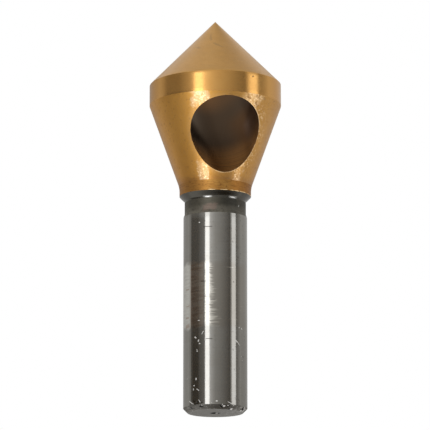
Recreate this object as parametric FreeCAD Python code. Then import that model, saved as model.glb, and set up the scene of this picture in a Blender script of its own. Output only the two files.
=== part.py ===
import FreeCAD, Part
import math
import os

from FreeCAD import Vector

# Cross-hole countersink bit, ground from one bar of high speed steel.
# The origin is the middle of the shank's end face, and the point looks up +Z.
# The slanting hole lies in the YZ plane: its upper mouth is on the +Y side of the cone,
# and its lower mouth on the -Y side of the back taper.

# Driving sizes in millimetres and degrees, from the end face up
centre_diameter = 1.3  # drilled centre in the end face
centre_angle = 60.0
end_chamfer = 0.68  # 45 degrees, round the end face
shank_diameter = 10.0
shank_length = 30.83
neck_runout = 0.5  # sloping wall from the shank down to the neck, along the axis
neck_diameter = 9.62
neck_length = 2.12
neck_fillet = 0.3  # between the neck and the chamfer under the collar
collar_chamfer_angle = 45.0
collar_diameter = 11.24
collar_height = 1.43
taper_angle = 19.8  # back of the head, from the axis
head_diameter = 20.78
land_height = 3.45
point_angle = 90.0
relief = 0.3  # how far in from its cutting lip the cone has fallen at the heel, beside the land
hole_diameter = 10.9
hole_rim = 0.76  # cone left between the hole and the land, along the cone's side

# Heights up the axis
half_point = math.radians(point_angle / 2)
head_radius = head_diameter / 2
neck_bottom = shank_length + neck_runout
neck_top = neck_bottom + neck_length
collar_bottom = neck_top + (collar_diameter - neck_diameter) / 2 / math.tan(math.radians(collar_chamfer_angle))
collar_top = collar_bottom + collar_height
land_bottom = collar_top + (head_diameter - collar_diameter) / 2 / math.tan(math.radians(taper_angle))
land_top = land_bottom + land_height
tip = land_top + head_radius / math.tan(half_point)

# The hole is square to the cone's side, and its axis meets that side this far from the tip
hole_radius = hole_diameter / 2
hole_from_tip = head_radius / math.sin(half_point) - hole_rim - hole_radius
hole_crossing = tip - hole_from_tip / math.cos(half_point)
hole_azimuth = math.pi / 2

# Two straight lines from the tip down the cone just touch the hole, one each side of its middle.
# The cutting lip is on the one at the smaller azimuth, and the heel is on the other.
rim_slope = math.tan(math.asin(hole_radius / hole_from_tip))
rim_root = math.sqrt(math.sin(half_point) ** 2 - math.cos(2 * half_point) * rim_slope**2)
hole_reach = 2 * math.atan(rim_slope / (math.sin(half_point) + rim_root))
cam_points = 36


def turned_body():
    """The end face, shank, neck, collar and back taper, up to the land."""
    shank_radius = shank_diameter / 2
    neck_radius = neck_diameter / 2
    collar_radius = collar_diameter / 2
    fillet_start, fillet_middle, fillet_end = neck_fillet_points(neck_radius)
    lower = [
        Vector(0, 0, 0),
        Vector(shank_radius - end_chamfer, 0, 0),
        Vector(shank_radius, 0, end_chamfer),
        Vector(shank_radius, 0, shank_length),
        Vector(neck_radius, 0, neck_bottom),
        fillet_start,
    ]
    upper = [
        fillet_end,
        Vector(collar_radius, 0, collar_bottom),
        Vector(collar_radius, 0, collar_top),
        Vector(head_radius, 0, land_bottom),
        Vector(0, 0, land_bottom),
        Vector(0, 0, 0),
    ]
    fillet = Part.Arc(fillet_start, fillet_middle, fillet_end).toShape()
    outline = Part.Wire([*Part.makePolygon(lower).Edges, fillet, *Part.makePolygon(upper).Edges])
    return Part.Face(outline).revolve(Vector(0, 0, 0), Vector(0, 0, 1), 360)


def neck_fillet_points(neck_radius):
    """Start, middle and end of the arc between the neck and the chamfer under the collar."""
    turn = math.radians(collar_chamfer_angle)
    run = neck_fillet * math.tan(turn / 2)
    centre = Vector(neck_radius + neck_fillet, 0, neck_top - run)
    return [centre + Vector(-math.cos(a), 0, math.sin(a)) * neck_fillet for a in (0, turn / 2, turn)]


def relief_share(behind):
    """Share of the relief at an angle behind the middle of the hole.

    Past the lip the cone falls away evenly as far as the heel, and it rises again inside the hole."""
    ahead = 2 * math.pi - behind
    if behind < hole_reach:
        return (1 - math.sin(math.pi / 2 * behind / hole_reach)) / 2
    if ahead < hole_reach:
        return (1 + math.sin(math.pi / 2 * ahead / hole_reach)) / 2
    return (behind - hole_reach) / (2 * math.pi - 2 * hole_reach)


def relieved_cone():
    """The ground cone: straight lines from the tip to a cam curve level with the land's lower edge."""
    round_radius = (tip - land_bottom) * math.tan(half_point)
    cam = []
    for step in range(cam_points):
        behind = 2 * math.pi * step / cam_points
        radius = round_radius * (1 - relief / head_radius * relief_share(behind))
        azimuth = hole_azimuth - behind
        cam.append(Vector(radius * math.cos(azimuth), radius * math.sin(azimuth), land_bottom))
    curve = Part.BSplineCurve()
    curve.interpolate(Points=cam, PeriodicFlag=True)
    return Part.makeLoft([Part.Vertex(0, 0, tip), Part.Wire(curve.toShape())], True, True)


def ground_head():
    """The round land with the relieved cone on it."""
    blank = Part.makeCylinder(head_radius, tip - land_bottom, Vector(0, 0, land_bottom))
    return blank.common(relieved_cone())


def cross_hole():
    """The slanting hole, long enough to run out past both of its mouths."""
    uphill = Vector(0, math.cos(half_point), math.sin(half_point))
    crossing = Vector(0, 0, hole_crossing)
    return Part.makeCylinder(hole_radius, 2 * tip, crossing - uphill * tip, uphill)


def drilled_centre():
    """The small conical centre in the end face."""
    depth = centre_diameter / 2 / math.tan(math.radians(centre_angle / 2))
    return Part.makeCone(centre_diameter / 2, 0, depth)


def countersink_bit():
    body = turned_body().fuse(ground_head()).removeSplitter()
    return body.cut([cross_hole(), drilled_centre()])


os.makedirs("parts", exist_ok=True)
bit = countersink_bit()
bit.exportStep("parts/countersink_bit.step")
print("length", round(tip, 3), "mm, solids", len(bit.Solids), "faces", len(bit.Faces), "valid", bit.isValid())
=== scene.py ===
import math

import bpy
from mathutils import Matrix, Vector


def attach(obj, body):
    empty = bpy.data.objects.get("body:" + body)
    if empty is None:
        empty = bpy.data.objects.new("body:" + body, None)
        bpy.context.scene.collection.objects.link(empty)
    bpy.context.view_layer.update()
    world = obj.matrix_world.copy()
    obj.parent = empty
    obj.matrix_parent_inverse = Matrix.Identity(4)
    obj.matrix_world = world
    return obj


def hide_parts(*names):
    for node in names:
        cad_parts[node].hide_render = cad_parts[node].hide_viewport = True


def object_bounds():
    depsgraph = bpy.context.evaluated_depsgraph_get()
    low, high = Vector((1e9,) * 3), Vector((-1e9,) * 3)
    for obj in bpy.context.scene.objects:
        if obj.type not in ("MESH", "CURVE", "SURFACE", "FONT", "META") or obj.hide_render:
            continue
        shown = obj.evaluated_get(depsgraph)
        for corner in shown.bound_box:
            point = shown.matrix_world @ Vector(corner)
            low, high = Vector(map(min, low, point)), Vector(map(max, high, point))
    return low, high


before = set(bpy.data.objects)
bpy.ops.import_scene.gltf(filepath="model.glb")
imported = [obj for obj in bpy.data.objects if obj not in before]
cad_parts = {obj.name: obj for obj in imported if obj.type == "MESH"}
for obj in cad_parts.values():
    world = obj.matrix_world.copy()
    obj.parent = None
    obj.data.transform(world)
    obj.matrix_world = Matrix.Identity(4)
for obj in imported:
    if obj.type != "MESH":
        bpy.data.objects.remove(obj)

# Countersink bit with a slanting cross hole: grey shank below, gold coated head above.
# Sizes are in millimetres and angles in degrees, unless a note says otherwise.
mm = 0.001
cadLow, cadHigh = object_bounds()
bpy.context.scene.view_settings.view_transform = "Standard"

bitSize = {
    "tip": cadHigh.z / mm,
    "headRadius": cadHigh.x / mm,
    "landHeight": 3.45,
    "collarRadius": 5.62,
    "collarStart": 34.26,
    "collarEnd": 35.69,
    "neckRadius": 4.81,
    "neckStart": 31.33,
    "neckEnd": 33.45,
    "shankRadius": 5.0,
    "shankEnd": 30.83,
    "endChamfer": 0.68,
    "centreRadius": 0.65,
    "centreDepth": 1.126,
    "relief": 0.3,  # how far the cone drops behind its cutting lip
    "boreRadius": 5.45,
    "boreHeight": 50.781,  # where the hole's middle line crosses the tool's
    "boreLean": 45,
}
bitSize["landTop"] = bitSize["tip"] - bitSize["headRadius"]  # the point is 90 degrees
bitSize["landStart"] = bitSize["landTop"] - bitSize["landHeight"]
boreLean = math.radians(bitSize["boreLean"])
boreLine = Vector((0, math.sin(boreLean), math.cos(boreLean)))


# small helpers for working by hand in edit mode
def selectOnly(obj):
    bpy.ops.object.select_all(action="DESELECT")
    obj.select_set(True)
    bpy.context.view_layer.objects.active = obj


def startEdit(obj):
    selectOnly(obj)
    bpy.ops.object.mode_set(mode="EDIT")
    bpy.ops.mesh.select_mode(type="VERT")


def endEdit():
    bpy.ops.object.mode_set(mode="OBJECT")


def pickEdges(obj, test):
    bpy.ops.object.mode_set(mode="EDIT")
    bpy.ops.mesh.select_mode(type="EDGE")
    bpy.ops.mesh.select_all(action="DESELECT")
    bpy.ops.object.mode_set(mode="OBJECT")
    points = obj.data.vertices
    for edge in obj.data.edges:
        edge.select = all(test(points[i].co / mm) for i in edge.vertices)
    bpy.ops.object.mode_set(mode="EDIT")


def applyModifier(obj, modifier):
    selectOnly(obj)
    bpy.ops.object.modifier_apply(modifier=modifier.name)


# camera, from a fit of the turned outline to the photo: low, looking a little up at the end face
cameraSetup = {
    "place": (-111.34, -490.06, -75.15),
    "pitch": 101.97,
    "turn": -12.795,
    "lens": 273.92,
    "sensor": 36,
}


def addCamera():
    place = Vector(cameraSetup["place"]) * mm
    turn = (math.radians(cameraSetup["pitch"]), 0, math.radians(cameraSetup["turn"]))
    bpy.ops.object.camera_add(location=place, rotation=turn)
    camera = bpy.context.object
    camera.name = "photoCamera"
    camera.data.lens = cameraSetup["lens"]
    camera.data.sensor_width = cameraSetup["sensor"]
    bpy.context.scene.camera = camera
    print("camera placed")


# nodes: a value that is fed can be a number, a colour or another node's socket
def feed(tree, socket, value):
    if isinstance(value, bpy.types.NodeSocket):
        tree.links.new(value, socket)
    else:
        socket.default_value = value


def feedAll(tree, sockets, values):
    for name, value in values.items():
        feed(tree, sockets[name], value)


def put(tree, kind, inputs=None, **settings):
    node = tree.nodes.new("ShaderNode" + kind)
    for name, value in settings.items():
        setattr(node, name, value)
    feedAll(tree, node.inputs, inputs or {})
    return node


def calc(tree, operation, *values):
    return put(tree, "Math", dict(enumerate(values)), operation=operation).outputs[0]


def chain(tree, operation, values):
    result = values[0]
    for value in values[1:]:
        result = calc(tree, operation, result, value)
    return result


def product(tree, *values):
    return chain(tree, "MULTIPLY", values)


def most(tree, *values):
    return chain(tree, "MAXIMUM", values)


def total(tree, *values):
    return chain(tree, "ADD", values)


def minus(tree, first, second):
    return calc(tree, "SUBTRACT", first, second)


def vectorCalc(tree, operation, *values):
    node = put(tree, "VectorMath", dict(enumerate(values)), operation=operation)
    return node.outputs["Value" if operation in ("LENGTH", "DOT_PRODUCT") else "Vector"]


def split(tree, vector):
    return put(tree, "SeparateXYZ", {0: vector}).outputs[:]


def join(tree, x, y, z=0.0):
    return put(tree, "CombineXYZ", {0: x, 1: y, 2: z}).outputs[0]


def turned(tree, vector, angle):
    return put(tree, "VectorRotate", {"Vector": vector, "Angle": angle}, rotation_type="Z_AXIS").outputs[0]


def remap(tree, value, low, high, newLow=0.0, newHigh=1.0, smooth=True):
    kind = "SMOOTHSTEP" if smooth else "LINEAR"
    inputs = {"Value": value, "From Min": low, "From Max": high, "To Min": newLow, "To Max": newHigh}
    return put(tree, "MapRange", inputs, interpolation_type=kind).outputs[0]


def between(tree, value, start, full, fade, end):
    return product(tree, remap(tree, value, start, full), remap(tree, value, fade, end, 1.0, 0.0))


def blend(tree, share, first, second):
    return put(tree, "Mix", {0: share, 6: first, 7: second}, data_type="RGBA").outputs[2]


def noiseOn(tree, vector, scale, detail=2.0, roughness=0.5, output="Fac"):
    values = {"Vector": vector, "Scale": scale, "Detail": detail, "Roughness": roughness}
    return put(tree, "TexNoise", values).outputs[output]


def newGroup(name, inputs, outputs, vectors=()):
    # an input without a value is a vector
    tree = bpy.data.node_groups.new(name, "ShaderNodeTree")
    for socketName, value in inputs.items():
        kind = "NodeSocketVector" if value is None else "NodeSocketFloat"
        socket = tree.interface.new_socket(socketName, in_out="INPUT", socket_type=kind)
        if value is not None:
            socket.default_value = value
    for socketName in [*outputs, *vectors]:
        kind = "NodeSocketVector" if socketName in vectors else "NodeSocketFloat"
        tree.interface.new_socket(socketName, in_out="OUTPUT", socket_type=kind)
    return tree, tree.nodes.new("NodeGroupInput").outputs, tree.nodes.new("NodeGroupOutput").inputs


def useGroup(tree, name, inputs=None):
    node = tree.nodes.new("ShaderNodeGroup")
    node.node_tree = bpy.data.node_groups[name]
    feedAll(tree, node.inputs, inputs or {})
    return node.outputs


# studio: white all round, dark flags round the bit, and tall strip lamps on both sides of the camera
# Azimuths are counted from the camera's side of the bit, minus to its left.
cameraAzimuth = -90 + cameraSetup["turn"]
studio = {
    "lampDistance": 900,
    "flagDistance": 1000,
    "bandSoftness": 10,
    "diffuseLevel": 0.9,
    "flagColour": (0.09, 0.064, 0.034, 1),
    "lampColour": (0.97, 1.0, 1.07),
    # name: (from, to, level, bottom, top)
    "lamps": {
        "highKeyStrip": (-36.6, -20.8, 2.6, 240, 318),
        "keyStrip": (-36.6, -20.8, 3.6, -560, 240),
        "keyWash": (-20.8, -15, 0.66, -560, 350),
        "keyFade": (-15, -9.5, 0.4, -560, 350),
        "keyEnd": (-9.5, -3, 0.17, -560, 350),
        "highRimStrip": (61.6, 78.6, 1.12, 240, 322),
        "rimStrip": (61.6, 78.6, 1.55, -120, 240),
        "lowRimStrip": (61.6, 78.6, 1.0, -560, -120),
    },
    # name: (from, to, share of the white held back at each end, bottom, top, darker bands)
    # a darker band: (bottom, top, share held back of what is left)
    "flags": {
        "backLeftFlag": (-172, -116, 0.6, 0.25, -750, 620, [(275, 620, 0.15)]),
        "farLeftFlag": (-116, -97, 0.15, 0.45, -450, 620, [(-450, 60, 0.35), (275, 620, 0.12)]),
        "leftEdgeFlag": (-97, -89, 0.66, 0.65, -450, 620, [(80, 262, 0.46), (40, 190, 0.08)]),
        "leftFlag": (-89, -62, 0.65, 0.62, -450, 620, [(80, 262, 0.46), (40, 190, 0.62)]),
        "keyFlag": (-62, -38, 0.55, 0.12, -450, 620, [(80, 262, 0.42), (40, 190, 0.25)]),
        "openFlag": (-38, -2, 0, 0, -750, 262, [(40, 190, 0.28), (-750, 0, 0.15)]),
        "frontFlag": (-2, 57, 0, 0.8, -750, 620, [(40, 190, 0.28), (-750, 0, 0.22)]),
        "rightFlag": (80, 104, 0.7, 0.14, -500, 620, [(-500, 60, 0.22), (275, 620, 0.12)]),
        "backRightFlag": (104, 172, 0.1, 0.42, -750, 620, [(40, 190, 0.2), (-750, 60, 0.12)]),
        "highFlag": (100, 180, 0.35, 0.35, 1300, 5000, []),
    },
}


def studioAzimuth(angle):
    return math.radians(cameraAzimuth + angle)


def addWorld():
    world = bpy.data.worlds.new("studioWhite")
    bpy.context.scene.world = world
    world.use_nodes = True
    tree = world.node_tree
    rays = put(tree, "LightPath").outputs
    seen = most(tree, rays["Is Camera Ray"], rays["Is Glossy Ray"], rays["Is Transmission Ray"])
    level = remap(tree, seen, 0.0, 1.0, studio["diffuseLevel"], 1.0, smooth=False)
    feedAll(tree, tree.nodes["Background"].inputs, {"Color": (1, 1, 1, 1), "Strength": level})


def addLamp(name, start, end, level, bottom, top):
    angle = studioAzimuth((start + end) / 2)
    distance = studio["lampDistance"] * mm
    width = 2 * distance * math.tan(math.radians(end - start) / 2)
    height = (top - bottom) * mm
    place = (distance * math.cos(angle), distance * math.sin(angle), (bottom + top) / 2 * mm)
    bpy.ops.object.light_add(type="AREA", location=place, rotation=(math.pi / 2, 0, angle + math.pi / 2))
    lamp = bpy.context.object
    lamp.name = name
    lamp.visible_camera = False
    lamp.data.shape = "RECTANGLE"
    lamp.data.color = studio["lampColour"]
    lamp.data.size = width
    lamp.data.size_y = height
    lamp.data.energy = level * math.pi * width * height


# a dark net that lets a share of the white behind it through
def netMaterial(name, colour, makeClear):
    material = bpy.data.materials.new(name)
    material.use_nodes = True
    tree = material.node_tree
    tree.nodes.clear()
    paint = put(tree, "BsdfDiffuse", {"Color": colour}).outputs[0]
    holes = put(tree, "BsdfTransparent").outputs[0]
    net = put(tree, "MixShader", {0: makeClear(tree), 1: paint, 2: holes})
    put(tree, "OutputMaterial", {"Surface": net.outputs[0]})
    return material


def addFlag(name, start, end, startShade, endShade, bottom, top, bands):
    def makeClear(tree):
        place = put(tree, "TexCoord").outputs["Object"]
        facing = turned(tree, place, -studioAzimuth((start + end) / 2))
        sweep = put(tree, "TexGradient", {"Vector": facing}, gradient_type="RADIAL").outputs["Fac"]
        half = (end - start) / 2 / 360
        clear = remap(tree, sweep, 0.5 - half, 0.5 + half, 1 - startShade, 1 - endShade, smooth=False)
        soft = studio["bandSoftness"]
        for low, high, share in bands:
            edges = [edge * mm for edge in (low - soft, low + soft, high - soft, high + soft)]
            band = between(tree, split(tree, place)[2], *edges)
            clear = product(tree, clear, minus(tree, 1.0, product(tree, band, share)))
        return clear

    # one point, pulled up into a line and spun round the bit
    radius = studio["flagDistance"] * mm
    bpy.ops.mesh.primitive_circle_add(vertices=3, radius=radius, fill_type="NOTHING")
    flag = bpy.context.object
    flag.name = name
    startEdit(flag)
    bpy.ops.mesh.merge(type="CENTER")
    angle = studioAzimuth(start)
    bpy.ops.transform.translate(value=(radius * math.cos(angle), radius * math.sin(angle), bottom * mm))
    bpy.ops.mesh.extrude_region_move(TRANSFORM_OT_translate={"value": (0, 0, (top - bottom) * mm)})
    bpy.ops.mesh.select_all(action="SELECT")
    sweep = math.radians(end - start)
    bpy.ops.mesh.spin(steps=round(end - start), angle=-sweep, center=(0, 0, 0), axis=(0, 0, 1))
    endEdit()
    flag.visible_camera = False
    flag.data.materials.append(netMaterial(name, studio["flagColour"], makeClear))


# a soft dark disc under the bit, to the right of it
underDisc = {"around": 48, "right": 120, "height": -400, "solidRadius": 110, "radius": 430, "clear": 0.02}


def addUnderDisc():
    def makeClear(tree):
        distance = vectorCalc(tree, "LENGTH", put(tree, "TexCoord").outputs["Object"])
        solid, edge = underDisc["solidRadius"] * mm, underDisc["radius"] * mm
        return remap(tree, distance, solid, edge, underDisc["clear"], 1.0, smooth=False)

    right, angle = underDisc["right"], studioAzimuth(0)
    place = Vector((-right * math.sin(angle), right * math.cos(angle), underDisc["height"])) * mm
    bpy.ops.mesh.primitive_circle_add(
        vertices=underDisc["around"], radius=underDisc["radius"] * mm, fill_type="NGON", location=place
    )
    disc = bpy.context.object
    disc.name = "underDisc"
    disc.visible_camera = False
    disc.data.materials.append(netMaterial("underDisc", studio["flagColour"], makeClear))


# the floor shows from above only, so the low camera sees the end face past it
floorSetup = {"size": 4000, "colour": (0.86, 0.86, 0.85, 1)}


def addFloor():
    def makeClear(tree):
        return put(tree, "NewGeometry").outputs["Backfacing"]

    bpy.ops.mesh.primitive_plane_add(size=floorSetup["size"] * mm)
    floor = bpy.context.object
    floor.name = "paleFloor"
    floor.visible_glossy = floor.visible_diffuse = floor.visible_shadow = False
    floor.data.materials.append(netMaterial("paleFloor", floorSetup["colour"], makeClear))


def addStudio():
    addWorld()
    for name, values in studio["lamps"].items():
        addLamp(name, *values)
    for name, values in studio["flags"].items():
        addFlag(name, *values)
    addUnderDisc()
    addFloor()
    print("studio lit")


# the turned blank: rings of edges pulled up from the end face's centre to the tip
blank = {
    "around": 256,
    # radius, height, rounding of the corner, rings along the wall below it
    "corners": [
        (bitSize["shankRadius"] - bitSize["endChamfer"], 0, 0.08, 12),
        (bitSize["shankRadius"], bitSize["endChamfer"], 0.1, 6),
        (bitSize["shankRadius"], 2.2, 0, 9),
        (bitSize["shankRadius"], bitSize["shankEnd"], 0.06, 28),
        (bitSize["neckRadius"], bitSize["neckStart"], 0.12, 1),
        (bitSize["neckRadius"], bitSize["neckEnd"], 0.3, 2),
        (bitSize["collarRadius"], bitSize["collarStart"], 0.06, 2),
        (bitSize["collarRadius"], bitSize["collarEnd"], 3.4, 2),
        (bitSize["headRadius"], bitSize["landStart"], 0.05, 22),
        (bitSize["headRadius"], bitSize["landTop"], 0.04, 6),
    ],
    "coneRings": 26,
    "tipFlat": 0.02,
    "roundSegments": 3,
    "cornerReach": 0.06,  # how far below the cone's foot its rounded corner reaches
    # how near a point has to be to count as lying on a ring, and to be merged
    "heightSlack": 0.002,
    "radiusSlack": 0.01,
    "mergeDistance": 0.001,
}


def pullRing(ring, radius, height):
    bpy.ops.mesh.extrude_region_move(TRANSFORM_OT_translate={"value": (0, 0, (height - ring[1]) * mm)})
    grow = radius / ring[0]
    bpy.ops.transform.resize(value=(grow, grow, 1), center_override=(0, 0, height * mm))
    return radius, height


def pullWall(ring, radius, height, count):
    fromRadius, fromHeight = ring
    for step in range(1, count + 1):
        share = step / count
        nextHeight = fromHeight + (height - fromHeight) * share
        ring = pullRing(ring, fromRadius + (radius - fromRadius) * share, nextHeight)
    return ring


def pickRing(bit, radius, height):
    def onRing(point):
        across = math.hypot(point.x, point.y)
        return abs(point.z - height) < blank["heightSlack"] and abs(across - radius) < blank["radiusSlack"]

    pickEdges(bit, onRing)


def roundCorner(bit, index):
    places = [(bitSize["centreRadius"], 0)] + [c[:2] for c in blank["corners"]] + [(0, bitSize["tip"])]
    radius, height, rounding, _ = blank["corners"][index]
    (r0, h0), (r2, h2) = places[index], places[index + 2]
    turn = math.atan2(h2 - height, r2 - radius) - math.atan2(height - h0, radius - r0)
    run = rounding * math.tan(abs(turn) / 2)
    pickRing(bit, radius, height)
    bpy.ops.mesh.bevel(offset=run * mm, segments=blank["roundSegments"], profile=0.5, clamp_overlap=False)


def turnBlank():
    bpy.ops.mesh.primitive_circle_add(
        vertices=blank["around"], radius=bitSize["centreRadius"] * mm, fill_type="NOTHING"
    )
    bit = bpy.context.object
    bit.name = "finishedBit"
    startEdit(bit)
    bpy.ops.mesh.select_all(action="SELECT")
    ring = (bitSize["centreRadius"], 0)
    for radius, height, _, count in blank["corners"]:
        ring = pullWall(ring, radius, height, count)
    tipRing = (blank["tipFlat"], bitSize["tip"] - blank["tipFlat"])
    pullWall(ring, *tipRing, blank["coneRings"])
    bpy.ops.mesh.extrude_region_move(TRANSFORM_OT_translate={"value": (0, 0, blank["tipFlat"] * mm)})
    bpy.ops.mesh.merge(type="CENTER")
    pickRing(bit, bitSize["centreRadius"], 0)
    bpy.ops.mesh.extrude_region_move(TRANSFORM_OT_translate={"value": (0, 0, bitSize["centreDepth"] * mm)})
    bpy.ops.mesh.merge(type="CENTER")
    for index, corner in enumerate(blank["corners"]):
        if corner[2] > 0:
            roundCorner(bit, index)
    bpy.ops.mesh.select_all(action="SELECT")
    bpy.ops.mesh.remove_doubles(threshold=blank["mergeDistance"] * mm)
    bpy.ops.mesh.normals_make_consistent(inside=False)
    endEdit()
    print("blank turned,", len(bit.data.vertices), "points")
    return bit


def boreFromTip():
    return (bitSize["tip"] - bitSize["boreHeight"]) * math.cos(boreLean)


# moves the points by their weights, straight down or in along the normal
def sink(bit, name, weightAt, direction, depth):
    group = bit.vertex_groups.new(name=name)
    for point in bit.data.vertices:
        weight = weightAt(point.co / mm)
        if weight > 0:
            group.add([point.index], weight, "REPLACE")
    modifier = bit.modifiers.new(name, "DISPLACE")
    modifier.direction = direction
    modifier.mid_level = 0
    modifier.strength = -depth * mm
    modifier.vertex_group = name
    applyModifier(bit, modifier)


# the cone is ground so that it falls away behind the lip, and rises again inside the hole
def reliefShare(behind):
    slope = math.tan(math.asin(bitSize["boreRadius"] / boreFromTip()))
    reach = 2 * math.atan(slope / (2 * math.sin(boreLean)))
    ahead = 2 * math.pi - behind
    if behind < reach:
        return (1 - math.sin(math.pi / 2 * behind / reach)) / 2
    if ahead < reach:
        return (1 + math.sin(math.pi / 2 * ahead / reach)) / 2
    return (behind - reach) / (2 * math.pi - 2 * reach)


def reliefAt(place):
    if place.z <= bitSize["landTop"] - blank["cornerReach"]:
        return 0
    behind = (math.pi / 2 - math.atan2(place.y, place.x)) % (2 * math.pi)
    return reliefShare(behind) * math.hypot(place.x, place.y) / bitSize["headRadius"]


def grindRelief(bit):
    drop = bitSize["relief"] / (1 - bitSize["relief"] / bitSize["headRadius"])
    sink(bit, "relief", reliefAt, "Z", drop)
    print("cone relieved")


# small knocks round the end's edge: where round the tool in degrees, height, how far across, how deep
dents = {
    "places": [
        (3, 0.45, 0.35, 0.07), (17, 0.2, 0.4, 0.08), (52, 0.4, 0.45, 0.09), (-47, 0.85, 0.4, 0.06),
        (-62, 0.95, 0.35, 0.05), (110, 0.5, 0.4, 0.08), (165, 0.7, 0.35, 0.06), (-120, 0.4, 0.45, 0.08),
        (-158, 0.75, 0.3, 0.05),
    ],
    "deepest": 0.1,
}


def dentAt(place):
    weight = 0
    radius = bitSize["shankRadius"]
    for angle, height, size, depth in dents["places"]:
        turn = math.radians(angle)
        gap = (place - Vector((radius * math.sin(turn), -radius * math.cos(turn), height))).length / size
        weight = max(weight, depth / dents["deepest"] * (1 - min(gap, 1)) ** 2)
    return weight


def dentEnd(bit):
    sink(bit, "dents", dentAt, "NORMAL", dents["deepest"])
    print("end dented")


boreCut = {"around": 192, "length": 60}


def drillBore(bit):
    bpy.ops.mesh.primitive_cylinder_add(
        vertices=boreCut["around"],
        radius=bitSize["boreRadius"] * mm,
        depth=boreCut["length"] * mm,
        location=(0, 0, bitSize["boreHeight"] * mm),
        rotation=(-boreLean, 0, 0),
    )
    drill = bpy.context.object
    cut = bit.modifiers.new("drillBore", "BOOLEAN")
    cut.operation = "DIFFERENCE"
    cut.solver = "EXACT"
    cut.object = drill
    applyModifier(bit, cut)
    bpy.data.objects.remove(drill)
    print("hole drilled,", len(bit.data.polygons), "faces")


def boreGap(place):
    return (place - Vector((0, 0, bitSize["boreHeight"]))).cross(boreLine).length - bitSize["boreRadius"]


# which finish a face has, by where it lies and how far it looks up
finishLimits = {"boreGap": 0.02, "lookingUp": 0.3, "collarCorner": 0.1, "smoothAngle": 28}


def finishOf(place, normal):
    if abs(boreGap(place)) < finishLimits["boreGap"] and place.z > bitSize["collarEnd"]:
        return boreWall
    if place.z > bitSize["landStart"]:
        return coneCoat if normal.z > finishLimits["lookingUp"] else landCoat
    if place.z > bitSize["collarEnd"] + finishLimits["collarCorner"]:
        return taperCoat
    if place.z > bitSize["collarStart"]:
        return collarCoat
    if place.z > bitSize["shankEnd"]:
        return darkSteel
    onSide = place.z > bitSize["endChamfer"] and abs(normal.z) < finishLimits["lookingUp"]
    return shankSteel if onSide else endSteel


def addFinishes(bit):
    makers = [coneCoat, landCoat, taperCoat, collarCoat, boreWall, darkSteel, shankSteel, endSteel]
    for make in makers:
        bit.data.materials.append(make())
    for face in bit.data.polygons:
        face.material_index = makers.index(finishOf(face.center / mm, face.normal))
    selectOnly(bit)
    bpy.ops.object.shade_smooth_by_angle(angle=math.radians(finishLimits["smoothAngle"]))
    print("finishes on")


# shared effects; each reads the bit's own coordinates, in millimetres
def makeEffects():
    for makeGroup in (placeGroup, ringsGroup, grainGroup, blotchGroup, strokeGroup, marksGroup, edgeGroup):
        makeGroup()
    print("effects ready")


def placeGroup():
    # unrolled round the tool, with the seam on the far side
    outputs = ["Around", "Height", "Radius", "Bore Gap", "Bore Depth"]
    tree, given, made = newGroup("placeOnBit", {"Radius": 5.0}, outputs, ["Point", "Unrolled", "Rim"])
    inMetres = put(tree, "TexCoord").outputs["Object"]
    point = vectorCalc(tree, "MULTIPLY", inMetres, (1 / mm, 1 / mm, 1 / mm))
    x, y, height = split(tree, point)
    radius = vectorCalc(tree, "LENGTH", join(tree, x, y))
    around = product(tree, calc(tree, "ARCTAN2", x, product(tree, y, -1.0)), given["Radius"])
    offset = vectorCalc(tree, "SUBTRACT", point, (0, 0, bitSize["boreHeight"]))
    boreSide = vectorCalc(tree, "LENGTH", vectorCalc(tree, "CROSS_PRODUCT", offset, boreLine))
    feedAll(tree, made, {
        "Point": point,
        "Unrolled": join(tree, around, height),
        "Rim": join(tree, around, radius),
        "Around": around,
        "Height": height,
        "Radius": radius,
        "Bore Gap": minus(tree, boreSide, bitSize["boreRadius"]),
        "Bore Depth": vectorCalc(tree, "DOT_PRODUCT", offset, boreLine),
    })


def ringsGroup():
    tree, given, made = newGroup("turnedRings", {"Spacing": 0.1, "Wander": 0.1}, ["Rings"])
    x, y, z = split(tree, useGroup(tree, "placeOnBit")["Point"])
    x = product(tree, x, given["Wander"])
    y = product(tree, y, given["Wander"])
    z = calc(tree, "DIVIDE", z, given["Spacing"])
    feed(tree, made["Rings"], noiseOn(tree, join(tree, x, y, z), 1.0, 3.0, 0.6))


def grainGroup():
    tree, given, made = newGroup("grain", {"Size": 0.2}, ["Grain", "Sparkle"])
    point = useGroup(tree, "placeOnBit")["Point"]
    scale = calc(tree, "DIVIDE", 1.0, given["Size"])
    feed(tree, made["Grain"], noiseOn(tree, point, scale, 3.0, 0.65))
    cells = put(tree, "TexVoronoi", {"Vector": point, "Scale": scale}).outputs["Color"]
    feed(tree, made["Sparkle"], put(tree, "SeparateColor", {0: cells}).outputs["Red"])


def blotchGroup():
    inputs = {"Vector": None, "Size": 2.0, "Cover": 0.5, "Softness": 0.1, "Detail": 3.0}
    tree, given, made = newGroup("blotches", inputs, ["Mask"])
    scale = calc(tree, "DIVIDE", 1.0, given["Size"])
    noise = noiseOn(tree, given["Vector"], scale, given["Detail"], 0.6)
    edge = minus(tree, 0.75, product(tree, given["Cover"], 0.5))
    low, high = minus(tree, edge, given["Softness"]), total(tree, edge, given["Softness"])
    feed(tree, made["Mask"], remap(tree, noise, low, high))


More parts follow.
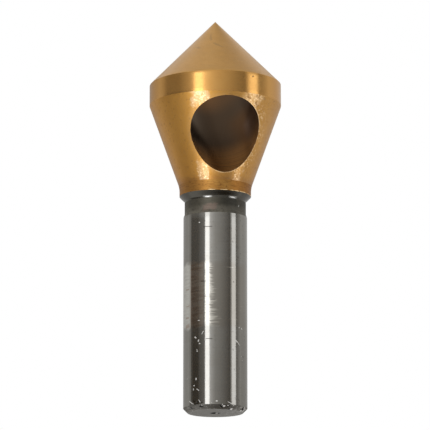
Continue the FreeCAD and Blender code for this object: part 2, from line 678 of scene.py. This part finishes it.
def strokeGroup():
    # one straight mark at a chosen place, soft at its ends and sides
    inputs = {"Vector": None, "Place": None, "Length": 1.0, "Width": 0.1, "Lean": 0.0}
    tree, given, made = newGroup("stroke", inputs, ["Mask"])
    offset = vectorCalc(tree, "SUBTRACT", given["Vector"], given["Place"])
    along, across, _ = split(tree, turned(tree, offset, product(tree, given["Lean"], -1.0)))
    sides = []
    for distance, size, firm in ((along, given["Length"], 0.3), (across, given["Width"], 0.2)):
        core, edge = product(tree, size, firm), product(tree, size, 0.5)
        sides.append(remap(tree, calc(tree, "ABSOLUTE", distance), core, edge, 1.0, 0.0))
    feed(tree, made["Mask"], product(tree, *sides))


def marksGroup():
    # scattered strokes, one in each cell that is picked: scratches if long, chips if short
    inputs = {"Vector": None, "Cell": 2.0, "Length": 1.5, "Width": 0.05, "Share": 0.3, "Spread": 1.0}
    tree, given, made = newGroup("marks", inputs, ["Mask"])
    voronoi = {"Vector": given["Vector"], "Scale": calc(tree, "DIVIDE", 1.0, given["Cell"])}
    cells = put(tree, "TexVoronoi", voronoi, voronoi_dimensions="2D").outputs
    random = put(tree, "SeparateColor", {0: cells["Color"]}).outputs
    spread = product(tree, given["Spread"], math.pi)
    stroke = useGroup(tree, "stroke", {
        "Vector": given["Vector"],
        "Place": cells["Position"],
        "Length": product(tree, given["Length"], remap(tree, random["Blue"], 0.0, 1.0, 0.4, 1.0)),
        "Width": given["Width"],
        "Lean": product(tree, minus(tree, random["Red"], 0.5), spread),
    })
    picked = calc(tree, "LESS_THAN", random["Green"], given["Share"])
    feed(tree, made["Mask"], product(tree, stroke["Mask"], picked))


def edgeGroup():
    # wear along an edge, also used for painted glints on edges: Gap is the distance to it
    tree, given, made = newGroup("edgeWearAndGlint", {"Gap": 1.0, "Width": 0.15, "Patchy": 0.5}, ["Mask"])
    noise = noiseOn(tree, useGroup(tree, "placeOnBit")["Point"], 1.6, 4.0, 0.7)
    uneven = product(tree, minus(tree, noise, 0.5), given["Patchy"], 4.0)
    width = product(tree, given["Width"], total(tree, 1.0, uneven))
    half = product(tree, width, 0.5)
    gap = calc(tree, "ABSOLUTE", given["Gap"])
    feed(tree, made["Mask"], remap(tree, gap, half, width, 1.0, 0.0))


def ringsOn(tree, spacing, wander):
    return useGroup(tree, "turnedRings", {"Spacing": spacing, "Wander": wander})["Rings"]


def grainOn(tree, size):
    return useGroup(tree, "grain", {"Size": size})["Grain"]


def sparkleOn(tree, size):
    return useGroup(tree, "grain", {"Size": size})["Sparkle"]


def blotchesOn(tree, vector, size, cover, softness, detail=3.0):
    values = {"Vector": vector, "Size": size, "Cover": cover, "Softness": softness, "Detail": detail}
    return useGroup(tree, "blotches", values)["Mask"]


def marksOn(tree, vector, cell, length, width, share, spread=1.0):
    values = {"Vector": vector, "Cell": cell, "Length": length, "Width": width}
    return useGroup(tree, "marks", values | {"Share": share, "Spread": spread})["Mask"]


def edgeWearAndGlintOn(tree, gap, width, patchy):
    return useGroup(tree, "edgeWearAndGlint", {"Gap": gap, "Width": width, "Patchy": patchy})["Mask"]


def placedStrokes(tree, vector, strokes):
    # each stroke: place round the tool, height, length, width, lean in degrees
    masks = []
    for around, height, length, width, lean in strokes:
        values = {"Vector": vector, "Place": (around, height, 0), "Length": length, "Width": width}
        masks.append(useGroup(tree, "stroke", values | {"Lean": math.radians(lean)})["Mask"])
    return most(tree, *masks)


def wobbled(tree, vector, size, amount):
    push = vectorCalc(tree, "SUBTRACT", noiseOn(tree, vector, 1 / size, output="Color"), (0.5, 0.5, 0.5))
    return vectorCalc(tree, "ADD", vector, vectorCalc(tree, "MULTIPLY", push, (amount, amount, 0)))


def streakNoise(tree, vector, acrossSize, alongSize):
    # noise drawn out round the tool
    return noiseOn(tree, vectorCalc(tree, "MULTIPLY", vector, (1 / alongSize, 1 / acrossSize, 1)), 1.0)


def lineNoise(tree, distance, scale, detail):
    values = {"W": product(tree, distance, scale), "Scale": 1.0, "Detail": detail}
    return put(tree, "TexNoise", values, noise_dimensions="1D").outputs["Fac"]


def bump(tree, height, depth):
    # depth is in micrometres
    return put(tree, "Bump", {"Height": height, "Distance": depth * 1e-6, "Strength": 1.0}).outputs[0]


def newMetal(name, radius=bitSize["shankRadius"]):
    # the surface is unrolled at this radius
    material = bpy.data.materials.new(name)
    material.use_nodes = True
    tree = material.node_tree
    return material, tree, useGroup(tree, "placeOnBit", {"Radius": radius})


def layered(tree, look, colour, layers):
    # from the bottom up, each with its share and the name of its colour
    for share, name in layers:
        colour = blend(tree, share, colour, look[name])
    return colour


def closeMetal(material, values):
    tree = material.node_tree
    feedAll(tree, tree.nodes["Principled BSDF"].inputs, {"Metallic": 1.0} | values)
    return material


# In each look: clouds, smudges and mottles are size, cover and softness, rings are spacing and wander,
# scattered marks are cell, length, width, share of the cells and spread.
coneLook = {
    "colour": (0.45, 0.236, 0.05, 1),
    "pale": (0.49, 0.27, 0.07, 1),
    "stain": (0.25, 0.15, 0.05, 1),
    "clouds": (3.0, 0.5, 0.25),
    "smudges": (1.4, 0.4, 0.2),
    "faintMarks": (1.6, 1.7, 0.2, 0.5),
    "rings": (0.12, 0.15),
    "grain": 0.25,
    "roughness": 0.42,
    "coat": 0.3,
    "coatRoughness": 0.35,
    "markRadius": 3.0,
    "marks": [(-1.28, 59.35, 1.6, 0.4, -80), (-0.45, 57.75, 1.5, 0.4, -53), (-2.2, 57.3, 0.8, 0.4, -30)],
}

def coneCoat():
    material, tree, place = newMetal("coneCoat", coneLook["markRadius"])
    clouds = blotchesOn(tree, place["Point"], *coneLook["clouds"])
    smudges = blotchesOn(tree, place["Point"], *coneLook["smudges"])
    scratched = wobbled(tree, place["Unrolled"], 0.5, 0.5)
    scratches = product(tree, placedStrokes(tree, scratched, coneLook["marks"]), 0.4)
    faint = product(tree, marksOn(tree, scratched, *coneLook["faintMarks"]), 0.1)
    colour = layered(tree, coneLook, coneLook["colour"], [
        (product(tree, clouds, 0.5), "pale"),
        (product(tree, smudges, 0.13), "stain"),
        (most(tree, scratches, faint), "stain"),
    ])
    grain = grainOn(tree, coneLook["grain"])
    rings = ringsOn(tree, *coneLook["rings"])
    dull = coneLook["roughness"]
    return closeMetal(material, {
        "Base Color": colour,
        "Roughness": remap(tree, grain, 0.2, 0.8, dull - 0.08, dull + 0.08),
        "Coat Weight": coneLook["coat"],
        "Coat Roughness": coneLook["coatRoughness"],
        "Normal": bump(tree, total(tree, product(tree, grain, 0.5), rings), 2),
    })


landLook = {
    "colour": (0.53, 0.285, 0.084, 1),
    "deep": (0.45, 0.2, 0.045, 1),
    "pit": (0.12, 0.06, 0.02, 1),
    "edgeTint": (1, 0.95, 0.9, 1),
    "clouds": (2.5, 0.4, 0.25),
    "rings": (0.09, 0.2),
    "grain": 0.3,
    "roughness": 0.19,
    "pits": [(3.92, 51.63, 0.42, 0.32, 30)],
}

def landCoat():
    material, tree, place = newMetal("landCoat", bitSize["headRadius"])
    clouds = blotchesOn(tree, place["Point"], *landLook["clouds"])
    pits = placedStrokes(tree, place["Unrolled"], landLook["pits"])
    colour = layered(tree, landLook, landLook["colour"], [
        (product(tree, clouds, 0.25), "deep"),
        (product(tree, pits, 0.8), "pit"),
    ])
    grain = grainOn(tree, landLook["grain"])
    rings = ringsOn(tree, *landLook["rings"])
    dull = landLook["roughness"]
    return closeMetal(material, {
        "Base Color": colour,
        "Roughness": remap(tree, grain, 0.3, 0.7, dull - 0.03, dull + 0.04),
        "Specular Tint": landLook["edgeTint"],
        "Normal": bump(tree, total(tree, rings, product(tree, grain, 1.2)), 0.6),
    })


taperLook = {
    "colour": (0.54, 0.27, 0.052, 1),
    "pale": (0.95, 0.8, 0.56, 1),
    "deep": (0.43, 0.195, 0.032, 1),
    "shadeOverCollar": (0.31, 0.135, 0.03, 1),
    "speck": (0.25, 0.11, 0.025, 1),
    "rim": (1.0, 0.72, 0.4, 1),
    "clouds": (2.4, 0.5, 0.25),
    "rings": (0.15, 0.3),
    "grain": 0.3,
    "fineGrain": 0.18,
    "roughness": 0.37,
    "markRadius": 8.0,
    # where the coating has gone pale beside the hole, placed where the lamps' highlights fall, so partly
    # wear and partly a painted highlight: round the tool, height, length, width, lean
    "worn": [
        (-3.7, 48.3, 3.0, 4.0, 0), (3.3, 48.2, 3.4, 2.8, -20),
        (-4.2, 36.9, 3.2, 4.6, 0), (3.1, 36.5, 2.4, 2.8, 0),
    ],
}

def taperCoat():
    material, tree, place = newMetal("taperCoat", taperLook["markRadius"])
    around, height, boreEdge = place["Around"], place["Height"], place["Bore Gap"]
    grain, sparkle = grainOn(tree, taperLook["grain"]), sparkleOn(tree, taperLook["grain"])
    clouds = blotchesOn(tree, place["Point"], *taperLook["clouds"])
    low = remap(tree, height, bitSize["collarStart"], bitSize["collarStart"] + 9, 0.6, 0.0)
    corner = bitSize["collarEnd"] + finishLimits["collarCorner"]
    # painted shade: the taper is darkened just above the collar's corner
    shadeOverCollar = remap(tree, height, corner + 1.3, corner, 0.0, 0.7)
    specks = remap(tree, sparkle, 0.0, 0.1, 1.0, 0.0)
    # pale beside the hole and a little paler to the right, partly wear and partly a painted highlight,
    # with bright grains as painted glints in the worn places and along the right of the hole
    wearAndHighlightPatches = placedStrokes(tree, wobbled(tree, place["Unrolled"], 1.2, 1.6), taperLook["worn"])
    strength = remap(tree, height, 38.0, 44.0, 0.31, 0.4)
    worn = product(tree, strength, remap(tree, around, -1.0, 1.0, 1.0, 0.8), wearAndHighlightPatches)
    rightSide = remap(tree, around, -2.0, 2.0, 0.04, 0.1)
    pale = most(tree, worn, rightSide, remap(tree, boreEdge, 1.3, 0.0, 0.0, 0.1))
    besideHole = product(tree, remap(tree, boreEdge, 1.8, 0.2), remap(tree, around, 1.5, 4.5))
    fine = remap(tree, sparkleOn(tree, taperLook["fineGrain"]), 0.8, 0.88)
    glintGrains = product(tree, fine, most(tree, wearAndHighlightPatches, besideHole), 0.6)
    lowPits = product(tree, remap(tree, sparkle, 0.1, 0.16, 1.0, 0.0), wearAndHighlightPatches)
    lowPits = product(tree, lowPits, remap(tree, around, 0.0, 2.0, 0.1, 0.7))
    # the hole's rim is bright on its right and at the bottom, partly edge wear and partly a painted
    # highlight where the edge catches the light
    rim = edgeWearAndGlintOn(tree, boreEdge, 0.12, 0.9)
    rimLow = product(tree, remap(tree, height, 42.0, 40.6, 0.06, 0.6), remap(tree, around, -3.2, -1.2))
    rimHighlightShare = most(tree, rimLow, remap(tree, around, 1.0, 3.5, 0.0, 0.65))
    colour = layered(tree, taperLook, taperLook["colour"], [
        (product(tree, clouds, 0.35), "deep"),
        (low, "deep"),
        (shadeOverCollar, "shadeOverCollar"),
        (product(tree, specks, 0.32), "speck"),
        (product(tree, pale, remap(tree, grain, 0.36, 0.68, 0.5, 1.0)), "pale"),
        (glintGrains, "rim"),
        (lowPits, "speck"),
        (product(tree, rim, rimHighlightShare), "rim"),
    ])
    rings = ringsOn(tree, *taperLook["rings"])
    dull = taperLook["roughness"]
    return closeMetal(material, {
        "Base Color": colour,
        "Roughness": remap(tree, grain, 0.3, 0.7, dull + 0.05, dull - 0.05),
        "Normal": bump(tree, total(tree, product(tree, rings, 0.5), grain), 9),
    })


collarLook = {
    "colour": (0.4, 0.205, 0.052, 1),
    "deep": (0.31, 0.135, 0.03, 1),
    "dull": (0.15, 0.066, 0.018, 1),
    "lipHighlight": (1.0, 0.74, 0.4, 1),
    "clouds": (1.2, 0.5, 0.2),
    "rings": (0.1, 0.4),
    "grain": 0.22,
    "roughness": 0.48,
}

def collarCoat():
    material, tree, place = newMetal("collarCoat", bitSize["collarRadius"])
    unrolled, around = place["Unrolled"], place["Around"]
    clouds = blotchesOn(tree, place["Point"], *collarLook["clouds"])
    # painted shade: the collar is darker towards its left and right sides
    leftSide = remap(tree, around, -1.6, -3.4, 0.0, 0.55)
    rightSide = remap(tree, around, 0.0, 2.2, 0.0, 0.9)
    streaks = streakNoise(tree, unrolled, 0.14, 1.2)
    # the coating ends in a thin lip painted bright as a highlight, which comes and goes
    lipHighlight = edgeWearAndGlintOn(tree, minus(tree, place["Height"], bitSize["collarStart"]), 0.12, 0.8)
    comesAndGoes = remap(tree, streakNoise(tree, unrolled, 2.0, 1.1), 0.38, 0.58)
    # the lip's painted highlight is left out on the left front
    missing = between(tree, around, -12, -9, -2.6, -1.8)
    colour = layered(tree, collarLook, collarLook["colour"], [
        (most(tree, leftSide, rightSide, product(tree, clouds, 0.6)), "deep"),
        (remap(tree, streaks, 0.48, 0.7, 0.0, 0.6), "dull"),
        (remap(tree, sparkleOn(tree, collarLook["grain"]), 0.0, 0.12, 0.6, 0.0), "dull"),
        (product(tree, lipHighlight, comesAndGoes, minus(tree, 1.0, missing), 0.9), "lipHighlight"),
    ])
    return closeMetal(material, {
        "Base Color": colour,
        "Roughness": collarLook["roughness"],
        "Normal": bump(tree, ringsOn(tree, *collarLook["rings"]), 14),
    })


boreLook = {
    "deep": (0.056, 0.037, 0.023, 1),
    "green": (0.057, 0.046, 0.032, 1),
    "lowMouth": (0.6, 0.28, 0.08, 1),
    "lowLeft": (0.45, 0.2, 0.052, 1),
    "highMouth": (0.15, 0.073, 0.029, 1),
    "leftEdge": (0.13, 0.08, 0.042, 1),
    "rightEdge": (0.17, 0.066, 0.018, 1),
    "red": (0.09, 0.042, 0.016, 1),
    "edgeTint": (0.69, 0.63, 0.59, 1),
    "clouds": (4.0, 0.5, 0.3, 1.0),
    "roughness": 0.33,
}

def boreWall():
    # brown near both mouths and darker towards the middle
    material, tree, place = newMetal("boreWall")
    depth, side = place["Bore Depth"], split(tree, place["Point"])[0]
    clouds = blotchesOn(tree, place["Point"], *boreLook["clouds"])
    nearLow = remap(tree, depth, -2.0, -4.5)
    leftEdge = product(tree, remap(tree, side, -4.3, -5.3), nearLow)
    rightEdge = product(tree, remap(tree, side, 3.8, 5.1), nearLow)
    onLeft = remap(tree, side, -0.5, -3.5)
    red = product(tree, remap(tree, side, 1.5, 5.0), remap(tree, depth, 2.0, -2.0), 0.8)
    high = product(tree, remap(tree, depth, 1.8, 7.8), remap(tree, side, 5.0, -1.0, 0.3, 1.0))
    # drill marks run round the hole's own middle line
    arcs = lineNoise(tree, depth, 3.0, 2.0)
    nearMouth = remap(tree, depth, -6.0, -10.0, 0.0, 0.32)
    look = boreLook | {"lowMouth": blend(tree, onLeft, boreLook["lowMouth"], boreLook["lowLeft"])}
    colour = layered(tree, look, look["deep"], [
        (remap(tree, side, 0.5, -3.5), "green"),
        (leftEdge, "leftEdge"),
        (rightEdge, "rightEdge"),
        (red, "red"),
        (high, "highMouth"),
        (remap(tree, depth, -5.4, -14.6), "lowMouth"),
        (product(tree, clouds, 0.3), "deep"),
        (product(tree, remap(tree, arcs, 0.45, 0.65), nearMouth), "deep"),
    ])
    # the film at the lower mouth's edges is less metallic
    lowLeft = product(tree, onLeft, remap(tree, depth, -4.5, -9.0))
    film = most(tree, leftEdge, product(tree, rightEdge, 0.65), lowLeft)
    return closeMetal(material, {
        "Base Color": colour,
        "Metallic": remap(tree, film, 0.0, 1.0, 1.0, 0.4),
        "Roughness": boreLook["roughness"],
        "Specular Tint": boreLook["edgeTint"],
        "Normal": bump(tree, arcs, 8),
    })


darkLook = {
    "colour": (0.085, 0.08, 0.068, 1),
    "glintSpot": (0.3, 0.295, 0.275, 1),
    "neck": (0.09, 0.082, 0.063, 1),
    "neckShade": (0.037, 0.035, 0.028, 1),
    "neckPale": (0.165, 0.15, 0.12, 1),
    "brown": (0.17, 0.125, 0.1, 1),
    "mottle": (0.03, 0.027, 0.022, 1),
    "mottles": (0.7, 0.35, 0.12),
    "rings": (0.12, 0.3),
    "metallic": 0.95,
    "roughness": 0.16,
    "neckRoughness": 0.5,
    # spots painted bright as glints: round the tool, height, length, width, lean
    "polish": [
        (-2.3, 33.42, 1.7, 0.38, 0), (1.85, 33.42, 1.8, 0.38, 0), (9.5, 33.4, 2.0, 0.4, 0),
        (3.05, 32.15, 0.4, 0.22, 60),
    ],
    "stains": [(-1.95, 31.75, 2.8, 1.5, 10), (6.5, 32.1, 2.5, 0.9, -8), (12.5, 31.8, 1.8, 1.0, 5)],
}

def darkSteel():
    # the neck is left dull, and the chamfer over it is smoother, with spots in the corner painted bright
    # as glints
    material, tree, place = newMetal("darkSteel", bitSize["neckRadius"])
    around, height = place["Around"], place["Height"]
    onNeck = remap(tree, height, bitSize["neckEnd"] - 0.1, bitSize["neckEnd"] - 0.35)
    # painted shade: the neck is darker on its right, and lighter again at the far right as a painted
    # reflection
    rightShade = remap(tree, around, -2.0, 1.2, 0.0, 0.9)
    rightShade = product(tree, rightShade, remap(tree, around, 2.3, 3.2, 1.0, 0.5))
    lowPale = product(tree, remap(tree, height, 32.4, 31.5), remap(tree, around, 0.0, 1.5, 0.6, 0.3))
    neck = layered(tree, darkLook, darkLook["neck"], [
        (rightShade, "neckShade"),
        (lowPale, "neckPale"),
        (product(tree, blotchesOn(tree, place["Point"], *darkLook["mottles"]), 0.4), "mottle"),
    ])
    brown = placedStrokes(tree, wobbled(tree, place["Unrolled"], 0.5, 0.9), darkLook["stains"])
    colour = layered(tree, darkLook, blend(tree, onNeck, darkLook["colour"], neck), [
        (placedStrokes(tree, place["Unrolled"], darkLook["polish"]), "glintSpot"),
        (product(tree, brown, 0.7), "brown"),
    ])
    rings = ringsOn(tree, *darkLook["rings"])
    rough = remap(tree, onNeck, 0.0, 1.0, darkLook["roughness"], darkLook["neckRoughness"])
    return closeMetal(material, {
        "Base Color": colour,
        "Metallic": darkLook["metallic"],
        "Roughness": total(tree, rough, remap(tree, rings, 0.3, 0.7, -0.04, 0.06)),
        "Normal": bump(tree, rings, 4),
    })


shankLook = {
    "colour": (0.216, 0.208, 0.188, 1),
    "worn": (0.29, 0.28, 0.255, 1),
    "jaw": (0.48, 0.47, 0.43, 1),
    "scuffAndGlare": (0.42, 0.4, 0.35, 1),
    "brown": (0.2, 0.14, 0.1, 1),
    "smearAndGlare": (0.33, 0.28, 0.23, 1),
    "haze": (0.205, 0.19, 0.164, 1),
    "rust": (0.26, 0.18, 0.13, 1),
    "dark": (0.045, 0.04, 0.035, 1),
    "chipAndGlint": (0.6, 0.585, 0.55, 1),
    "mottles": (1.8, 0.45, 0.15),
    "clusters": (2.6, 0.25, 0.06),  # where the fine chips lie
    "fineChips": (0.7, 0.4, 0.13, 0.35),
    "ringCuts": (3.2, 2.0, 0.06, 0.2, 0.05),
    "rings": (0.08, 0.12),
    "grain": 0.35,
    "pores": 0.24,
    "roughness": 0.1,
    "gripLow": 12.9,  # the stretch that a chuck has held
    "gripHigh": 23.0,
    "gripSoftness": 0.5,
    "scratches": [
        (-2.3, 28.54, 1.7, 0.2, 0), (-2.1, 10.88, 1.3, 0.19, -2), (-1.5, 17.0, 1.0, 0.16, 0),
        (-3.0, 19.95, 1.1, 0.18, 0), (1.88, 19.92, 0.3, 0.22, 0), (-4.0, 1.05, 0.7, 0.34, 40),
        (-4.75, 1.3, 0.6, 0.26, -30), (-3.3, 0.95, 0.6, 0.2, 20), (-5.1, 0.9, 0.5, 0.22, 30),
        (-4.3, 0.85, 0.4, 0.2, 0),
    ],
    "spots": [
        (-6.34, 18.98, 1.2, 0.32, 0), (-6.2, 16.33, 1.3, 0.3, 4), (-6.4, 14.5, 1.2, 0.4, -4),
        (-6.35, 13.2, 1.5, 0.8, 8),
    ],
    "chips": [
        (-4.43, 11.21, 0.5, 0.3, -35), (-3.86, 10.66, 0.45, 0.26, 70), (-3.66, 10.19, 0.3, 0.22, 0),
        (-4.08, 9.03, 0.26, 0.2, 0), (-4.29, 4.71, 0.46, 0.28, 90), (-4.68, 3.7, 0.32, 0.22, 0),
        (-4.81, 3.14, 0.38, 0.22, 90), (-3.96, 3.01, 0.7, 0.17, -35), (-5.3, 1.1, 1.4, 0.17, -30),
        (-3.66, 1.23, 0.65, 0.14, -55), (-0.9, 1.15, 0.36, 0.26, 0), (1.2, 0.95, 0.9, 0.14, -22),
        (2.8, 10.43, 1.25, 0.13, -44), (2.38, 10.68, 0.8, 0.11, -46), (3.05, 12.85, 0.32, 0.16, 60),
        (3.68, 12.74, 0.42, 0.18, -60), (-3.81, 13.83, 0.4, 0.15, 0), (-3.13, 11.86, 0.7, 0.12, 60),
        (-3.7, 29.3, 0.3, 0.24, 0),
    ],
}

def shankSteel():
    material, tree, place = newMetal("shankSteel")
    unrolled, around, height = place["Unrolled"], place["Around"], place["Height"]
    rings = ringsOn(tree, *shankLook["rings"])
    # faint mottling, and small dark pores that show most on the right
    mottles = blotchesOn(tree, place["Point"], *shankLook["mottles"])
    pores = remap(tree, sparkleOn(tree, shankLook["pores"]), 0.0, 0.05, 1.0, 0.0)
    pores = product(tree, pores, remap(tree, around, 0.0, 1.6, 0.12, 0.4))

    # chuck marks: a dull band from one jaw, brown streaks beside it, and a comb of scuffs, with painted
    # glare from the highlight on the smear and the comb
    gripHeight = split(tree, wobbled(tree, unrolled, 1.4, 1.6))[1]
    low, high, soft = shankLook["gripLow"], shankLook["gripHigh"], shankLook["gripSoftness"]
    grip = between(tree, gripHeight, low - soft, low + soft, high - soft, high + soft)
    streaks = streakNoise(tree, unrolled, 0.3, 3.0)
    # a pale smear left of the highlight, partly chuck marking and partly painted glare from the highlight
    # beside it
    smearAndGlare = product(tree, grip, between(tree, around, -6.0, -5.6, -3.1, -2.85), 0.9)
    brown = product(tree, smearAndGlare, remap(tree, streaks, 0.4, 0.65), 0.75)
    away = most(tree, remap(tree, around, -3.0, -2.4), remap(tree, around, -9.8, -10.6))
    ragged = total(tree, around, remap(tree, streaks, 0.3, 0.7, -1.3, 1.6))
    jawSides = product(tree, remap(tree, around, -5.4, -5.55), remap(tree, ragged, -10.6, -9.6))
    jaw = product(tree, grip, jawSides, remap(tree, streaks, 0.25, 0.55, 0.6, 1.0))
    # the comb is broken up more and more away from the jaw, and it reaches further low down
    clumps = streakNoise(tree, unrolled, 0.9, 6.0)
    teeth = streakNoise(tree, unrolled, 0.17, 2.2)
    # painted glare: paler streaks just left of the highlight
    paintedGlare = product(tree, grip, remap(tree, around, -4.8, -3.5), remap(tree, around, -2.8, -3.1))
    paintedGlare = product(tree, paintedGlare, remap(tree, teeth, 0.35, 0.62, 0.08, 0.45))
    comb = total(tree, product(tree, clumps, 0.4), product(tree, teeth, 0.6))
    furthest = remap(tree, height, 13.0, 21.0, 0.3, -1.0, smooth=False)
    gone = remap(tree, around, -2.2, furthest, 0.38, 0.66, smooth=False)
    left = remap(tree, minus(tree, comb, gone), -0.03, 0.07)
    # the comb of scuffs is painted paler, partly as glare from the highlight beside it
    scuffAndGlare = product(tree, grip, left, remap(tree, around, -3.0, -2.6), 0.68)
    spots = placedStrokes(tree, unrolled, shankLook["spots"])

    # scratches round the tool, and chips that show bright at the lower end, painted bright partly as
    # glints
    ringCuts = product(tree, marksOn(tree, unrolled, *shankLook["ringCuts"]), 0.35)
    scratches = most(tree, ringCuts, placedStrokes(tree, unrolled, shankLook["scratches"]))
    clusters = blotchesOn(tree, unrolled, *shankLook["clusters"])
    chips = product(tree, marksOn(tree, unrolled, *shankLook["fineChips"]), clusters)
    chips = product(tree, chips, remap(tree, height, 13.0, 9.0))
    chips = most(tree, chips, placedStrokes(tree, unrolled, shankLook["chips"]))
    colour = layered(tree, shankLook, shankLook["colour"], [
        (remap(tree, rings, 0.35, 0.65, 0.0, 0.2), "worn"),
        (product(tree, mottles, 0.35), "haze"),
        (pores, "dark"),
        (smearAndGlare, "smearAndGlare"),
        (product(tree, grip, away, 0.8), "haze"),
        (brown, "brown"),
        (jaw, "jaw"),
        (paintedGlare, "scuffAndGlare"),
        (scuffAndGlare, "scuffAndGlare"),
        (product(tree, spots, 0.6), "rust"),
        (product(tree, scratches, 0.8), "dark"),
        (chips, "chipAndGlint"),
    ])
    rough = total(tree, shankLook["roughness"], product(tree, chips, 0.4))
    polish = total(tree, rings, product(tree, grainOn(tree, shankLook["grain"]), 1.5))
    return closeMetal(material, {
        "Base Color": colour,
        "Metallic": remap(tree, chips, 0.0, 1.0, 1.0, 0.3),
        "Roughness": total(tree, rough, product(tree, most(tree, jaw, scuffAndGlare), 0.12)),
        "Normal": bump(tree, polish, 1.0),
    })


endLook = {
    "colour": (0.25, 0.237, 0.213, 1),
    "dark": (0.006, 0.0055, 0.005, 1),
    "chipAndGlint": (0.75, 0.73, 0.7, 1),
    "centreGlint": (0.26, 0.25, 0.235, 1),
    "edgeTint": (0.5, 0.5, 0.5, 1),
    "fineChips": (0.6, 0.4, 0.12, 0.2),
    "grain": 0.34,
    "fineGrain": 0.16,
    "roughness": 0.4,
    "markRadius": 4.6,
    # round the edge, distance from the middle, length, width, lean
    "notches": [
        (-0.05, 4.72, 0.6, 0.42, 0), (1.35, 4.36, 0.7, 0.36, 0), (4.3, 4.66, 0.9, 0.5, 0),
        (1.0, 4.8, 0.5, 0.2, 0), (-3.2, 4.75, 0.8, 0.3, 0), (-5.2, 4.7, 0.5, 0.3, 0),
    ],
    "chips": [
        (0.3, 4.74, 0.45, 0.32, 0), (1.7, 4.36, 0.55, 0.45, 20), (5.0, 4.5, 0.9, 0.4, 60),
        (4.5, 4.8, 0.4, 0.25, -40), (4.1, 4.4, 0.45, 0.3, 0),
    ],
}

def endSteel():
    material, tree, place = newMetal("endSteel", endLook["markRadius"])
    rim, around, radius = place["Rim"], place["Around"], place["Radius"]
    side = split(tree, place["Point"])[0]
    rings = lineNoise(tree, radius, 6.0, 3.0)
    # painted shade: the chamfer is darker in front
    inFront = between(tree, around, -6.2, -5.2, 2.6, 4.3)
    onChamfer = remap(tree, place["Height"], 0.0, 0.1)
    shade = product(tree, inFront, onChamfer, remap(tree, around, -4.2, -2.0, 0.42, 0.3))
    # the drilled centre is dark, with a glint on one side of its wall
    inCentre = remap(tree, radius, bitSize["centreRadius"] + 0.35, bitSize["centreRadius"])
    glint = product(tree, inCentre, remap(tree, side, 0.1, 0.25), remap(tree, side, 0.6, 0.4))
    notches = placedStrokes(tree, rim, endLook["notches"])
    nearEdge = remap(tree, radius, 3.2, 4.2)
    # the rubbed grains, specks and chips are painted bright, partly as glints
    rubbed = remap(tree, sparkleOn(tree, endLook["fineGrain"]), 0.75, 1.0, 0.0, 0.25)
    specks = remap(tree, sparkleOn(tree, endLook["grain"]), 0.65, 0.9, 0.0, 0.2)
    chips = product(tree, marksOn(tree, rim, *endLook["fineChips"]), nearEdge)
    chips = most(tree, chips, placedStrokes(tree, rim, endLook["chips"]))
    colour = layered(tree, endLook, endLook["colour"], [
        (remap(tree, rings, 0.4, 0.7, 0.0, 0.3), "dark"),
        (shade, "dark"),
        (most(tree, notches, inCentre), "dark"),
        (product(tree, rubbed, nearEdge), "chipAndGlint"),
        (product(tree, specks, remap(tree, side, 0.2, 1.5)), "chipAndGlint"),
        (glint, "centreGlint"),
        (chips, "chipAndGlint"),
    ])
    return closeMetal(material, {
        "Base Color": colour,
        "Metallic": remap(tree, chips, 0.0, 1.0, 1.0, 0.3),
        "Roughness": endLook["roughness"],
        "Specular Tint": endLook["edgeTint"],
        "Normal": bump(tree, rings, 2),
    })


addCamera()
addStudio()
finishedBit = turnBlank()
dentEnd(finishedBit)
grindRelief(finishedBit)
drillBore(finishedBit)
makeEffects()
addFinishes(finishedBit)
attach(finishedBit, "root")
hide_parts("countersink_bit")
